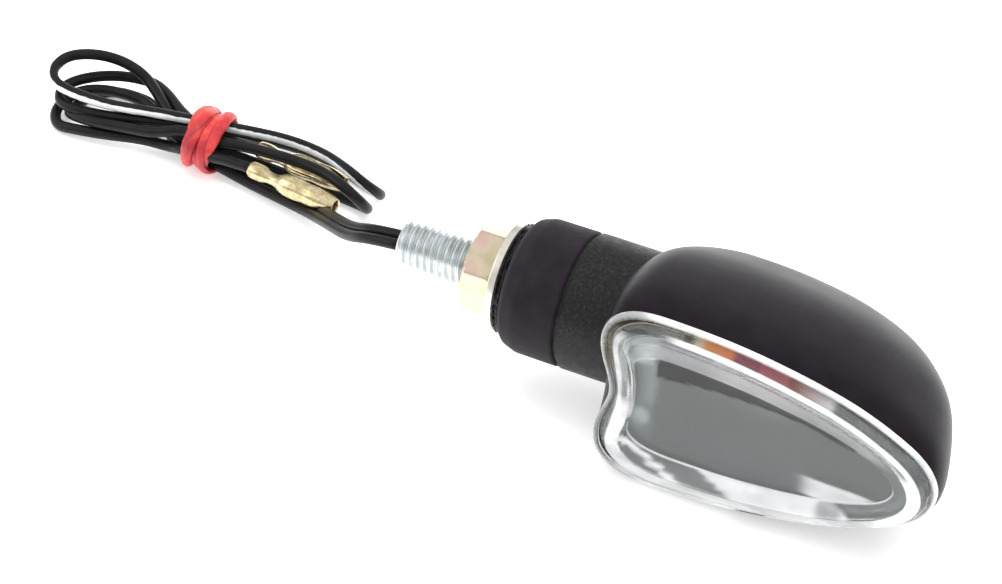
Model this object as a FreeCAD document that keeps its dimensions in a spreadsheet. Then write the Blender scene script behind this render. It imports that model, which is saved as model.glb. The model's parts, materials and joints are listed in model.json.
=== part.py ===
"""Motorcycle turn signal with a short stalk.

Frame: +X runs along the stalk to the tip of the lamp, -Y is the way the lens faces, +Z is up.
The origin is on the stud's axis, at the face that seats on the motorcycle's bracket.
All sizes are in millimetres.
"""
import FreeCAD, Part
import math
import os
from Sketcher import Constraint as Sketch
from FreeCAD import Placement, Rotation, Vector

doc = FreeCAD.newDocument("turn_signal")

# How far a cutting solid runs past the face it cuts, in millimetres.
CUT = 1.0

DIMENSIONS = {
    # stations along the stalk
    "stud_end": -19.4, "nut_left": -6.8, "washer_left": -1.4, "mount_face": 0.0,
    "ring_right": 1.2, "stud_head_left": 2.5, "stud_head_right": 4.5, "plug_right": 8.0,
    "collar_right": 11.3, "stem_left": 12.1, "stem_blend": 29.0, "stem_neck_end": 23.2,
    "stem_step": 19.0, "thread_right": -7.0,
    # stud, nut and washer: M8 x 1.25, its free end at the low side of the thread's tolerance
    "stud_radius": 4.0, "thread_radius": 3.8, "stud_bore": 2.3, "stud_head_radius": 7.0,
    "nut_corner": 7.506, "nut_round": 0.2, "nut_bore": 4.05, "washer_radius": 9.0,
    "washer_bore": 4.2,
    # stalk
    "ring_radius": 9.3, "ring_bore": 4.1, "collar_radius": 11.1, "collar_bore": 7.95,
    "collar_round": 2.2, "spigot_radius": 7.9, "seam_radius": 10.5, "stem_radius": 11.2,
    "neck_radius": 8.9, "stem_bore": 6.0, "neck_bore": 6.8, "spigot_bore": 7.1, "plug_radius": 7.05,
    "plug_bore": 2.4, "stud_hole": 4.1,
    # head
    "head_left": 22.0, "head_tip": 77.0, "head_half": 16.9, "head_front": -16.2,
    "head_back": 16.8, "rim_notch": 1.7, "wall": 2.0, "neck_hole": 9.0,
    # lens
    "lens_ring_front": -17.3, "lens_crest": -19.2, "lens_dish": -17.9, "lens_cavity": -16.9,
    "lens_skirt_end": -13.6, "lens_gap": 0.25, "lens_skirt_wall": 1.2, "tub_foot_inset": 0.4,
    "tub_crest_inset": 2.3, "dish_inset": 3.9,
    "dish_left": 27.4, "dish_tip": 70.5, "dish_half": 9.3, "dish_notch": 2.0,
    # seal and reflector
    "seal_back": -12.9, "flange_back": -11.9, "reflector_back": 11.0, "reflector_wall": 0.8,
    "reflector_inset": 3.35, "reflector_hole": 9.0, "bowl_shift": 4.2, "seal_gap": 0.1,
    "seal_width": 1.5, "screw_x": 28.0, "screw_z": 6.0, "screw_hole": 0.9, "screw_radius": 0.8,
    "screw_length": 2.4, "screw_head_radius": 1.5, "screw_head_height": 0.7, "screw_slot": 0.35,
    # bulb socket
    "shell_left": 23.5, "shell_floor": 24.1, "shell_right": 36.5, "shell_radius": 8.3,
    "shell_bore": 7.75, "shell_eye": 3.4, "insulator_right": 25.3, "insulator_radius": 7.7,
    "insulator_bore": 1.95, "slot_width": 2.5,
    # sprung contact
    "plunger_left": 22.2, "plunger_head_left": 26.5, "plunger_right": 27.3, "plunger_radius": 1.9,
    "plunger_bore": 1.0, "plunger_head_radius": 3.0, "plunger_floor": 26.0,
    "spring_radius": 2.55, "spring_wire": 0.22, "spring_turns": 3.0,
    # bulb
    "tip_left": 27.3, "tip_right": 28.0, "tip_radius": 2.0, "bulb_insulator_right": 28.8,
    "bulb_insulator_radius": 5.4, "base_right": 38.0, "base_radius": 7.5, "base_bore": 6.9,
    "base_floor": 29.6, "pin_x": 30.6, "pin_radius": 1.0, "pin_reach": 8.7,
    "glass_centre": 47.3, "glass_radius": 8.1, "glass_neck": 6.8, "glass_wall": 0.7,
    "glass_foot": 33.0, "filament_x": 46.0, "post_radius": 0.25, "post_gap": 2.6,
    "bead_radius": 1.2, "bead_height": 4.0, "bridge_radius": 0.6, "filament_radius": 0.35,
    # wiring
    "wire_radius": 0.95, "wire_offset": 1.2, "tab_radius": 5.4,
    "bullet_length": 17.4, "bullet_radius": 1.95, "nose_bore": 0.78, "nose_length": 3.5,
    "nose_slit": 0.3, "band_width": 5.4, "band_wall": 0.8, "band_grip": 0.1,
}

sheet = doc.addObject("Spreadsheet::Sheet", "dims")
for row, (alias, value) in enumerate(DIMENSIONS.items(), start=1):
    sheet.set("A%d" % row, alias)
    sheet.set("B%d" % row, str(value))
    sheet.setAlias("B%d" % row, alias)
doc.recompute()


def size(alias):
    """A driving dimension, read back from the sheet."""
    return float(sheet.get(alias))


# ---------------------------------------------------------------- sketch helpers

def origin_plane(body, role):
    """One of a body's own origin planes."""
    for feature in body.Origin.OriginFeatures:
        if feature.Role == role:
            return feature
    raise ValueError("no plane " + role)


def turned(label, corners):
    """A body of revolution about the X axis; each corner is (station, radius) by alias."""
    body = doc.addObject("PartDesign::Body", label)
    sketch = body.newObject("Sketcher::SketchObject", label + "_profile")
    sketch.AttachmentSupport = [(origin_plane(body, "XY_Plane"), "")]
    sketch.MapMode = "FlatFace"
    points = [Vector(size(x), size(r) if r else 0.0, 0) for x, r in corners]
    count = len(points)
    for i in range(count):
        sketch.addGeometry(Part.LineSegment(points[i], points[(i + 1) % count]), False)
    for i in range(count):
        sketch.addConstraint(Sketch("Coincident", i, 2, (i + 1) % count, 1))
    for i, (x, r) in enumerate(corners):
        bind(sketch, "DistanceX", i, x)
        if r:
            bind(sketch, "DistanceY", i, r)
        else:
            sketch.addConstraint(Sketch("PointOnObject", i, 1, -1))
    turn = body.newObject("PartDesign::Revolution", label + "_turn")
    turn.Profile = sketch
    turn.ReferenceAxis = (sketch, ["H_Axis"])
    turn.Angle = 360
    sketch.Visibility = False
    doc.recompute()
    return body


def bind(sketch, kind, edge, alias):
    """Hold the start of an edge at a distance from the origin, taken from the sheet."""
    index = sketch.addConstraint(Sketch(kind, -1, 1, edge, 1, size(alias)))
    sketch.setExpression("Constraints[%d]" % index, "dims." + alias)


def ring_body(label, left, right, outer, bore):
    """A plain ring between two stations."""
    return turned(label, [(left, bore), (right, bore), (right, outer), (left, outer)])


def fillet_circle(body, station, radius, amount):
    """Round the circular edge of a turned body at one station and radius."""
    base = body.Tip
    names = []
    for number, edge in enumerate(base.Shape.Edges, start=1):
        curve = edge.Curve
        if not hasattr(curve, "Radius"):
            continue
        if abs(curve.Radius - size(radius)) < 0.01 and abs(curve.Center.x - size(station)) < 0.01:
            names.append("Edge%d" % number)
    fillet = body.newObject("PartDesign::Fillet", body.Label + "_round")
    fillet.Base = (base, names)
    fillet.setExpression("Radius", "dims." + amount)
    doc.recompute()


def free_shape(label, shape, placement=None):
    """A sub-part whose shape is worked out with Part's own functions."""
    feature = doc.addObject("Part::Feature", label)
    feature.Shape = shape
    feature.Placement = placement or Placement()
    return feature


def tube_between(left, right, outer, bore=None):
    """A cylinder or tube about X, between two stations in millimetres."""
    shape = Part.makeCylinder(outer, right - left, Vector(left, 0, 0), Vector(1, 0, 0))
    if bore:
        shape = shape.cut(Part.makeCylinder(bore, right - left, Vector(left, 0, 0), Vector(1, 0, 0)))
    return shape


# ---------------------------------------------------------------- head outline and sections

# Upper half of the teardrop outline, from the tip back to the stalk: how far along the
# length (0 at the stalk end, 1 at the tip) and how much of the half height.
TEARDROP = [
    (1.0, 0.0), (0.957, 0.32), (0.87, 0.525), (0.73, 0.73), (0.55, 0.88), (0.37, 0.97),
    (0.2, 1.0), (0.07, 0.945), (0.004, 0.74), (0.0, 0.4),
]
# Knot of each outline point, the same for every outline so that sections blend cleanly.
TEARDROP_KNOTS = [0.0, 6.0, 12.0, 22.0, 33.0, 43.0, 52.5, 60.5, 66.0, 71.5, 78.0]

# Share of the head's depth at which the rim's notch has run out.
NOTCH_SHARE = 0.16

# Sections of the domed back: depth from the rim (0) to the back (1), then how far the
# stalk end, the tip and the half height move in from the rim's own, in millimetres.
DOME = [
    (0.0, 0.0, 0.0, 0.0), (0.16, -0.9, 0.3, -0.4), (0.34, -1.1, 1.8, 0.6),
    (0.52, -0.6, 3.9, 2.1), (0.70, 0.8, 7.6, 4.7), (0.85, 3.8, 12.4, 7.7),
    (0.94, 8.0, 17.2, 9.8), (0.985, 12.5, 21.8, 11.8), (1.0, 15.5, 25.0, 13.6),
]


def outline(depth, left, tip, half, notch=0.0):
    """Closed teardrop outline in the plane Y = depth, with a notch towards the stalk."""
    upper = [Vector(left + along * (tip - left), depth, high * half) for along, high in TEARDROP]
    middle = Vector(left + notch, depth, 0)
    lower = [Vector(point.x, depth, -point.z) for point in reversed(upper[1:])]
    knots = list(TEARDROP_KNOTS)
    last = knots[-1]
    knots += [2 * last - knot for knot in reversed(knots[:-1])]
    curve = Part.BSplineCurve()
    curve.interpolate(Points=upper + [middle] + lower, Parameters=knots, PeriodicFlag=True)
    return Part.Wire([curve.toShape()])


def rim_outline(depth, inset=0.0):
    """The rim's outline, drawn in by an inset, at a depth."""
    return outline(
        depth, size("head_left") + inset, size("head_tip") - inset, size("head_half") - inset,
        size("rim_notch"),
    )


def dome_section(share, inset, shift=0.0):
    """Outline of the domed back at a share of its depth, drawn in by an inset.

    A shift moves the stalk end of the outline further towards the tip.
    """
    front = size("head_front")
    back = size("head_back")
    for first, second in zip(DOME, DOME[1:]):
        if first[0] <= share <= second[0]:
            part = (share - first[0]) / (second[0] - first[0])
            left, tip, half = [a + part * (b - a) for a, b in zip(first[1:], second[1:])]
            break
    notch = size("rim_notch") * max(0.0, 1.0 - share / NOTCH_SHARE)
    return outline(
        front + share * (back - front - inset), size("head_left") + left + inset + shift,
        size("head_tip") - tip - inset, size("head_half") - half - inset, notch,
    )


def prism(wire, depth):
    """Solid that carries an outline along Y."""
    return Part.Face(wire).extrude(Vector(0, depth, 0))


def head_solid(inset):
    """The head's rounded volume, drawn in by an inset."""
    shares = [share for share, _, _, half in DOME if size("head_half") - half - inset > 1.0]
    return Part.makeLoft([dome_section(share, inset) for share in shares], True, False)


# ---------------------------------------------------------------- mounting end

def make_stud():
    """Hollow stud: threaded free end, shank, and the head that is trapped inside the stem."""
    return turned("stud", [
        ("stud_end", "stud_bore"), ("stud_head_right", "stud_bore"),
        ("stud_head_right", "stud_head_radius"), ("stud_head_left", "stud_head_radius"),
        ("stud_head_left", "stud_radius"), ("thread_right", "stud_radius"),
        ("thread_right", "thread_radius"), ("stud_end", "thread_radius"),
    ])


def make_nut():
    """Hexagon nut, with its corners turned down at both faces."""
    prism_part = doc.addObject("Part::Prism", "nut_hexagon")
    prism_part.Polygon = 6
    prism_part.setExpression("Circumradius", "dims.nut_corner")
    prism_part.setExpression("Height", "dims.washer_left - dims.nut_left")
    prism_part.Placement = Placement(Vector(size("nut_left"), 0, 0), Rotation(Vector(0, 1, 0), 90))
    turned_down = doc.addObject("Part::Sphere", "nut_corner_ball")
    turned_down.setExpression("Radius", "dims.nut_corner + dims.nut_round")
    turned_down.Placement = Placement(
        Vector((size("nut_left") + size("washer_left")) / 2, 0, 0), Rotation())
    common = doc.addObject("Part::Common", "nut_blank")
    common.Base = prism_part
    common.Tool = turned_down
    hole = doc.addObject("Part::Cylinder", "nut_hole")
    hole.setExpression("Radius", "dims.nut_bore")
    hole.setExpression("Height", "dims.washer_left - dims.nut_left")
    hole.Placement = Placement(Vector(size("nut_left"), 0, 0), Rotation(Vector(0, 1, 0), 90))
    nut = doc.addObject("Part::Cut", "nut")
    nut.Base = common
    nut.Tool = hole
    return nut


def make_collar():
    """Rubber sleeve around the stem's spigot."""
    body = ring_body("collar", "ring_right", "collar_right", "collar_radius", "collar_bore")
    fillet_circle(body, "ring_right", "collar_radius", "collar_round")
    return body


def make_stem():
    """Rigid stem: spigot, body that meets the dome, and the neck that enters the head."""
    left = size("ring_right")
    spigot = tube_between(left, size("collar_right"), size("spigot_radius"))
    seam = tube_between(size("collar_right"), size("stem_left"), size("seam_radius"))
    body = tube_between(size("stem_left"), size("stem_blend"), size("stem_radius"))
    body = body.cut(head_solid(0.0))
    body = max(body.Solids, key=lambda solid: solid.Volume)
    neck = tube_between(size("stem_step"), size("stem_neck_end"), size("neck_radius"))
    stem = spigot.fuse([seam, body, neck]).removeSplitter()
    bores = [
        tube_between(left, size("stud_head_left"), size("stud_hole")),
        tube_between(size("stud_head_left"), size("plug_right"), size("spigot_bore")),
        tube_between(size("plug_right"), size("stem_step"), size("stem_bore")),
        tube_between(size("stem_step"), size("stem_neck_end"), size("neck_bore")),
    ]
    return free_shape("stem", stem.cut(bores))


# ---------------------------------------------------------------- head

def make_housing():
    """Domed back shell with the hole for the stem's neck."""
    shell = head_solid(0.0).cut(head_solid(size("wall")))
    mouth = prism(rim_outline(size("head_front") - CUT, size("wall")), 2 * CUT)
    hole = tube_between(size("stem_step") - CUT, size("stem_blend") - 2 * CUT, size("neck_hole"))
    return free_shape("housing", shell.cut([mouth, hole]))


def make_lens():
    """Clear lens: ring on the rim, skirt inside it, raised border and dished face."""
    front = size("head_front")
    ring_front = size("lens_ring_front")
    crest = size("lens_crest")
    skirt_inset = size("wall") + size("lens_gap")
    ring = prism(rim_outline(ring_front), front - ring_front)
    tub_foot = rim_outline(front, size("tub_foot_inset"))
    tub = Part.makeLoft([tub_foot, rim_outline(crest, size("tub_crest_inset"))], True, True)
    skirt = prism(rim_outline(front, skirt_inset), size("lens_skirt_end") - front)
    dish_floor = outline(
        size("lens_dish"), size("dish_left"), size("dish_tip"), size("dish_half"),
        size("dish_notch"),
    )
    dish_mouth = rim_outline(crest - 0.02 * CUT, size("dish_inset"))
    dish = Part.makeLoft([dish_mouth, dish_floor], True, True)
    cavity = prism(
        rim_outline(size("lens_cavity"), skirt_inset + size("lens_skirt_wall")),
        size("lens_skirt_end") - size("lens_cavity") + CUT,
    )
    lens = ring.fuse([tub, skirt]).cut([dish, cavity])
    return free_shape("lens", lens)


def make_lens_seal():
    """Thin gasket that the lens skirt presses on the reflector's flange."""
    start = size("lens_skirt_end")
    depth = size("seal_back") - start
    inset = size("wall") + size("seal_gap")
    outer = prism(rim_outline(start, inset), depth)
    inner = prism(rim_outline(start, inset + size("seal_width")), depth)
    return free_shape("lens_seal", outer.cut(inner))


def make_reflector():
    """Bright bowl behind the lens, with its flange and the hole for the bulb socket."""
    flange_front = size("seal_back")
    flange_back = size("flange_back")
    front = size("head_front")
    inset = size("reflector_inset")
    wall = size("reflector_wall")
    back = size("reflector_back")
    shift = size("bowl_shift")

    def bowl(extra, first, last):
        depth = size("head_back") - front - inset - extra
        shares = [(first - front) / depth, 0.34, 0.52, 0.70, 0.85, (last - front) / depth]
        sections = [dome_section(share, inset + extra, shift) for share in shares]
        return Part.makeLoft(sections, True, False)

    flange = rim_outline(flange_front, size("wall") + size("seal_gap"))
    flange = prism(flange, flange_back - flange_front)
    shell = flange.fuse(bowl(0.0, flange_front, back))
    inner = bowl(wall, flange_front - 0.1 * CUT, back - wall)
    hole = tube_between(size("head_left"), size("shell_right") - CUT, size("reflector_hole"))
    screws = [screw_hole(side) for side in (1, -1)]
    return free_shape("reflector", shell.cut([inner, hole] + screws))


def screw_place(side):
    """Where a screw's head meets the reflector's flange."""
    return Vector(size("screw_x"), size("seal_back"), side * size("screw_z"))


def screw_hole(side):
    """Clearance hole for a reflector screw."""
    start = screw_place(side) - Vector(0, CUT, 0)
    return Part.makeCylinder(size("screw_hole"), 4 * CUT, start, Vector(0, 1, 0))


def make_reflector_screws():
    """Two small pan-head screws through the reflector's flange."""
    radius = size("screw_head_radius")
    height = size("screw_head_height")
    slot = size("screw_slot")
    screws = []
    for side in (1, -1):
        place = screw_place(side)
        top = place - Vector(0, height, 0)
        along = Vector(0, 1, 0)
        shank = Part.makeCylinder(size("screw_radius"), size("screw_length"), place, along)
        head = Part.makeCylinder(radius, height, top, along)
        cut = Part.makeBox(2 * radius, slot, slot, top - Vector(radius, 0, slot / 2))
        screws.append(head.fuse(shank).removeSplitter().cut(cut))
    return free_shape("reflector_screws", Part.makeCompound(screws))


# ---------------------------------------------------------------- bulb socket and bulb

# Degrees round the socket: where a pin goes in, how far its slot sweeps and where that starts.
SLOT_ENTRY = 50
SLOT_SWEEP = 64
SLOT_START = -8


def make_socket_shell():
    """Bayonet shell; each slot runs in from the mouth and then round the wall."""
    tube = tube_between(size("shell_left"), size("shell_right"), size("shell_radius"))
    bore = tube_between(size("shell_floor"), size("shell_right"), size("shell_bore"))
    eye = tube_between(size("shell_left"), size("shell_floor"), size("shell_eye"))
    shell = tube.cut([bore, eye])
    half = size("slot_width") / 2
    for turn in (0, 180):
        entry = Part.makeBox(
            size("shell_right") - size("pin_x") + half, 3 * CUT, 2 * half,
            Vector(size("pin_x") - half, size("shell_bore") - CUT, -half))
        entry.rotate(Vector(0, 0, 0), Vector(1, 0, 0), turn + SLOT_ENTRY)
        sector = Part.makeCylinder(
            size("shell_radius") + CUT, 2 * half, Vector(0, 0, 0), Vector(0, 0, 1), SLOT_SWEEP)
        sector = sector.cut(Part.makeCylinder(size("shell_bore") - CUT, 2 * half))
        sector.Placement = Placement(
            Vector(size("pin_x") - half, 0, 0), Rotation(Vector(1, 1, 1), 120))
        sector.rotate(Vector(0, 0, 0), Vector(1, 0, 0), turn + SLOT_START)
        shell = shell.cut([entry, sector])
    return free_shape("socket_shell", shell)


def make_bulb_base():
    """Brass cap of the bulb with its two bayonet pins."""
    outer = tube_between(size("bulb_insulator_right"), size("base_right"), size("base_radius"))
    bore = tube_between(size("base_floor"), size("base_right"), size("base_bore"))
    reach = size("pin_reach")
    pin = Part.makeCylinder(
        size("pin_radius"), 2 * reach, Vector(size("pin_x"), -reach, 0), Vector(0, 1, 0))
    return free_shape("bulb_base", outer.fuse(pin).cut(bore))


def make_bulb_glass():
    """Hollow amber envelope, a ball with a neck that is cemented in the cap."""
    def envelope(shrink):
        ball = Part.makeSphere(size("glass_radius") - shrink, Vector(size("glass_centre"), 0, 0))
        neck = tube_between(
            size("glass_foot") + shrink, size("glass_centre"), size("glass_neck") - shrink)
        return ball.fuse(neck).removeSplitter()

    return free_shape("bulb_glass", envelope(0.0).cut(envelope(size("glass_wall"))))


def make_filament():
    """Two support posts and the coiled filament between them."""
    radius = size("post_radius")
    gap = size("post_gap")
    start = size("glass_foot") + size("glass_wall")
    length = size("filament_x") - start
    posts = [
        Part.makeCylinder(radius, length, Vector(start, 0, side * gap), Vector(1, 0, 0))
        for side in (1, -1)
    ]
    up = Vector(0, 0, 1)
    height = start + size("bead_height")
    bead = Part.makeSphere(size("bead_radius"), Vector(height, 0, 0))
    bridge = Part.makeCylinder(size("bridge_radius"), 2 * gap, Vector(height, 0, -gap), up)
    coil = Part.makeCylinder(
        size("filament_radius"), 2 * (gap + radius),
        Vector(size("filament_x"), 0, -gap - radius), up)
    return free_shape("bulb_filament", posts[0].fuse([posts[1], bead, bridge, coil]))


def make_spring():
    """Small coil spring between the insulator and the plunger's head."""
    left = size("insulator_right") + size("spring_wire")
    right = size("plunger_head_left") - size("spring_wire")
    turns = size("spring_turns")
    helix = Part.makeHelix((right - left) / turns, right - left, size("spring_radius"))
    start = Vector(size("spring_radius"), 0, 0)
    section = Part.Wire([Part.makeCircle(size("spring_wire"), start, Vector(0, 1, 0))])
    coil = Part.Wire(helix).makePipeShell([section], True, True)
    along_stalk = Placement(Vector(left, 0, 0), Rotation(Vector(0, 1, 0), 90))
    return free_shape("socket_spring", coil, along_stalk)


# ---------------------------------------------------------------- wires

def route(points, label):
    """Path of straight runs joined by tangent arcs, each arc as large as its runs allow."""
    edges = []
    here = points[0]
    radii = []
    for before, corner, after in zip(points, points[1:], points[2:]):
        back = before - corner
        on = after - corner
        turn = math.pi - back.getAngle(on)
        reach = 0.45 * min(back.Length, on.Length)
        radius = reach / math.tan(turn / 2)
        radii.append(radius)
        start = corner + Vector(back).normalize() * reach
        end = corner + Vector(on).normalize() * reach
        inward = (Vector(back).normalize() + Vector(on).normalize()).normalize()
        middle = corner + inward * (radius / math.cos(turn / 2) - radius)
        edges.append(Part.LineSegment(here, start).toShape())
        edges.append(Part.Arc(start, middle, end).toShape())
        here = end
    edges.append(Part.LineSegment(here, points[-1]).toShape())
    path = Part.Wire(edges)
    print("%s: length %.1f, radii %s" % (label, path.Length, " ".join("%.1f" % r for r in radii)))
    return path


def wire(label, points):
    """A round wire along a route."""
    path = route([Vector(*point) for point in points], label)
    radius = size("wire_radius")
    direction = Vector(*points[1]) - Vector(*points[0])
    section = Part.Wire([Part.makeCircle(radius, Vector(*points[0]), direction)])
    solid = path.makePipeShell([section], True, False)
    expected = math.pi * radius ** 2 * path.Length
    print("%s: volume %.1f, section times length %.1f" % (label, solid.Volume, expected))
    return free_shape(label, solid)


def make_inner_wires():
    """The two wires between the socket and the open end of the stud."""
    offset = size("wire_offset")
    end = size("stud_end")
    wire("hot_wire", [
        (25.2, 0, 0), (18.5, 0, 0), (11.5, offset, 0), (end, offset, 0)])
    wire("ground_wire", [
        (size("stem_neck_end"), -4.3, 0), (18.5, -4.3, 0), (13.5, -2.6, 0), (9.0, -offset, 0),
        (end, -offset, 0)])


# Route of the pair of leads from the stud's mouth down to the bundle, at the pair's middle.
LEAD_ROUTE = [
    (-25.0, 0.1, -0.6), (-30.5, 2.5, -4.3), (-37.0, 6.8, -8.7), (-44.0, 11.2, -12.5),
    (-51.5, 15.4, -15.0),
]


def make_leads():
    """The visible leads, one on each side of the pair's middle."""
    for label, side in (("lead_striped", 1), ("lead_plain", -1)):
        offset = side * size("wire_offset")
        points = [(size("stud_end"), offset, 0)]
        points += [(x, y + offset, z) for x, y, z in LEAD_ROUTE]
        wire(label, points)


# Sections of the tied bundle of wire: station, then middle and half sizes across and up.
BUNDLE = [
    (-102.6, 27.0, -15.6, 2.4, 1.4), (-99.0, 26.6, -14.9, 7.2, 2.7), (-90.0, 26.0, -14.1, 10.0, 3.8),
    (-80.0, 24.6, -13.8, 8.2, 4.0), (-69.0, 23.2, -13.4, 5.0, 3.8), (-58.0, 22.0, -13.9, 5.6, 3.9),
    (-45.0, 20.6, -14.8, 6.0, 3.1), (-37.0, 20.2, -15.6, 4.6, 2.2), (-33.4, 20.0, -16.0, 1.8, 1.3),
]


def ellipse_wire(x, y, z, across, up):
    """Ellipse in a plane square to X; its longer half size comes first."""
    longer = max(across, up)
    shorter = min(across, up)
    ellipse = Part.Ellipse(Vector(0, 0, 0), longer, shorter)
    edge = ellipse.toShape()
    edge.Placement = Placement(Vector(x, y, z), Rotation(Vector(1, 1, 1), 120))
    if up > across:
        edge.rotate(Vector(x, y, z), Vector(1, 0, 0), 90)
    return Part.Wire([edge])


def make_bundle():
    """Outer shape of the leads' tied bundle."""
    solid = Part.makeLoft([ellipse_wire(*section) for section in BUNDLE], True, False)
    return free_shape("wire_hank", solid)


def make_rubber_band():
    """Elastic band round the narrow part of the bundle."""
    x, y, z, across, up = BUNDLE[4]
    width = size("band_width")
    wall = size("band_wall")
    outer = Part.Face(ellipse_wire(x - width / 2, y, z, across + wall, up + wall))
    grip = size("band_grip")
    inner = Part.Face(ellipse_wire(x - width / 2, y, z, across - grip, up - grip))
    along = Vector(width, 0, 0)
    return free_shape("rubber_band", outer.extrude(along).cut(inner.extrude(along)))


def bullet_shape():
    """Male bullet connector along +X: crimp barrel, saddle, shoulder and split nose."""
    full = size("bullet_radius")
    length = size("bullet_length")
    stations = [
        (0.0, 0.85), (0.22, 0.85), (0.25, 0.55), (0.38, 0.55), (0.44, 1.0), (0.60, 1.0),
        (0.64, 0.86), (0.72, 0.86), (0.78, 1.0), (0.92, 0.95), (1.0, 0.6),
    ]
    profile = [Vector(0, 0, 0)]
    profile += [Vector(share * length, part * full, 0) for share, part in stations]
    profile += [Vector(length, 0, 0), Vector(0, 0, 0)]
    solid = Part.Face(Part.makePolygon(profile)).revolve(Vector(0, 0, 0), Vector(1, 0, 0), 360)
    reach = size("nose_length")
    width = size("nose_slit")
    nose = Part.makeCylinder(
        size("nose_bore"), reach, Vector(length - reach, 0, 0), Vector(1, 0, 0))
    slit = Part.makeBox(reach, width, 4 * full, Vector(length - reach, -width / 2, -2 * full))
    return solid.cut([nose, slit])


def make_bullets():
    """Two bullet connectors, tucked into the bundle."""
    places = [
        ("bullet_plain", Vector(-56.2, 17.95, -11.6), Vector(1, -0.14, 0)),
        ("bullet_striped", Vector(-58.0, 24.5, -12.7), Vector(1, -0.1, 0)),
    ]
    for label, start, direction in places:
        free_shape(label, bullet_shape(), Placement(start, Rotation(Vector(1, 0, 0), direction)))


# ---------------------------------------------------------------- build

make_stud()
make_nut()
ring_body("washer", "washer_left", "mount_face", "washer_radius", "washer_bore")
ring_body("mount_ring", "mount_face", "ring_right", "ring_radius", "ring_bore")
make_collar()
make_stem()
ring_body("stud_retainer", "stud_head_right", "plug_right", "plug_radius", "plug_bore")
make_housing()
make_lens()
make_lens_seal()
make_reflector()
make_reflector_screws()
make_socket_shell()
ring_body(
    "socket_insulator", "shell_floor", "insulator_right", "insulator_radius", "insulator_bore")
turned("contact_plunger", [
    ("plunger_left", "plunger_bore"), ("plunger_floor", "plunger_bore"), ("plunger_floor", None),
    ("plunger_right", None), ("plunger_right", "plunger_head_radius"),
    ("plunger_head_left", "plunger_head_radius"), ("plunger_head_left", "plunger_radius"),
    ("plunger_left", "plunger_radius"),
])
make_spring()
ring_body("ground_tab", "stem_neck_end", "shell_left", "tab_radius", "shell_eye")
make_bulb_base()
turned("bulb_insulator", [
    ("tip_right", None), ("bulb_insulator_right", None),
    ("bulb_insulator_right", "base_radius"), ("tip_right", "bulb_insulator_radius"),
])
turned("bulb_contact", [
    ("tip_left", None), ("tip_right", None), ("tip_right", "tip_radius"), ("tip_left", "tip_radius")])
make_bulb_glass()
make_filament()
make_inner_wires()
make_leads()
make_bundle()
make_rubber_band()
make_bullets()
doc.recompute()

NODES = [
    "stud", "nut", "washer", "mount_ring", "collar", "stem", "stud_retainer", "housing", "lens",
    "lens_seal", "reflector", "reflector_screws", "socket_shell", "socket_insulator",
    "contact_plunger", "socket_spring", "ground_tab", "bulb_base", "bulb_insulator", "bulb_contact",
    "bulb_glass", "bulb_filament", "hot_wire", "ground_wire", "lead_striped", "lead_plain",
    "wire_hank", "rubber_band", "bullet_plain", "bullet_striped",
]

for item in doc.Objects:
    if "Invalid" in item.State or "Error" in item.State:
        raise RuntimeError("%s failed: %s" % (item.Label, item.State))
os.makedirs("parts", exist_ok=True)
for node in NODES:
    found = doc.getObjectsByLabel(node)[0]
    shape = found.Shape
    if shape.isNull() or not shape.isValid():
        raise RuntimeError(node + " has no valid shape")
    shape.exportStep("parts/%s.step" % node)
    box = shape.BoundBox
    print("%-18s solids %d volume %9.2f  x %7.2f %7.2f  y %6.2f %6.2f  z %6.2f %6.2f" % (
        node, len(shape.Solids), shape.Volume, box.XMin, box.XMax, box.YMin, box.YMax,
        box.ZMin, box.ZMax))
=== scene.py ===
"""Motorcycle turn signal: the visual pieces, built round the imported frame.

Metres throughout. +X runs along the stalk to the lamp's tip, -Y is the way the lens faces, +Z is
up. Profiles and routes are written in millimetres and scaled by MM.
"""
import json
import math

import bmesh
import bpy
import numpy as np
from mathutils import Matrix, Vector, noise


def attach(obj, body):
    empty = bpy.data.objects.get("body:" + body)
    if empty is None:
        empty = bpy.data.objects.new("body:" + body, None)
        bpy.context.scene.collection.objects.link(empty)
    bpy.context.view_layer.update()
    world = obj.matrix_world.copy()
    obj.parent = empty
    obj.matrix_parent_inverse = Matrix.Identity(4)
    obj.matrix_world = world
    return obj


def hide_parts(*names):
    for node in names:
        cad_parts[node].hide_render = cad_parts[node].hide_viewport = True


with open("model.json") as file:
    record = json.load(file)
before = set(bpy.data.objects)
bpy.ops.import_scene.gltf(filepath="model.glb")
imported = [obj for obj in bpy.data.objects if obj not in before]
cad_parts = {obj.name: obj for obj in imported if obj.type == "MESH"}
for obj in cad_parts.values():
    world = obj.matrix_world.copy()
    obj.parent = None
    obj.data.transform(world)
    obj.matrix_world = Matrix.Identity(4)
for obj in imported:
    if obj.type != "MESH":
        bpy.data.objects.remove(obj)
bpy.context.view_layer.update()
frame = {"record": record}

MM = 0.001
FLOOR_Z = -18.0 * MM
TURN = 2 * math.pi


# ---------------------------------------------------------------- camera

VIEW_AZIMUTH, VIEW_ELEVATION, VIEW_ROLL = 22.15, 40.5, 3.6
VIEW_TARGET = (-2.09, 0, -3.78)
VIEW_DISTANCE = 0.6
FOCAL_LENGTH, SENSOR_WIDTH = 135.5, 36.0
CLIP_START, CLIP_END = 0.01, 20.0


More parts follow.
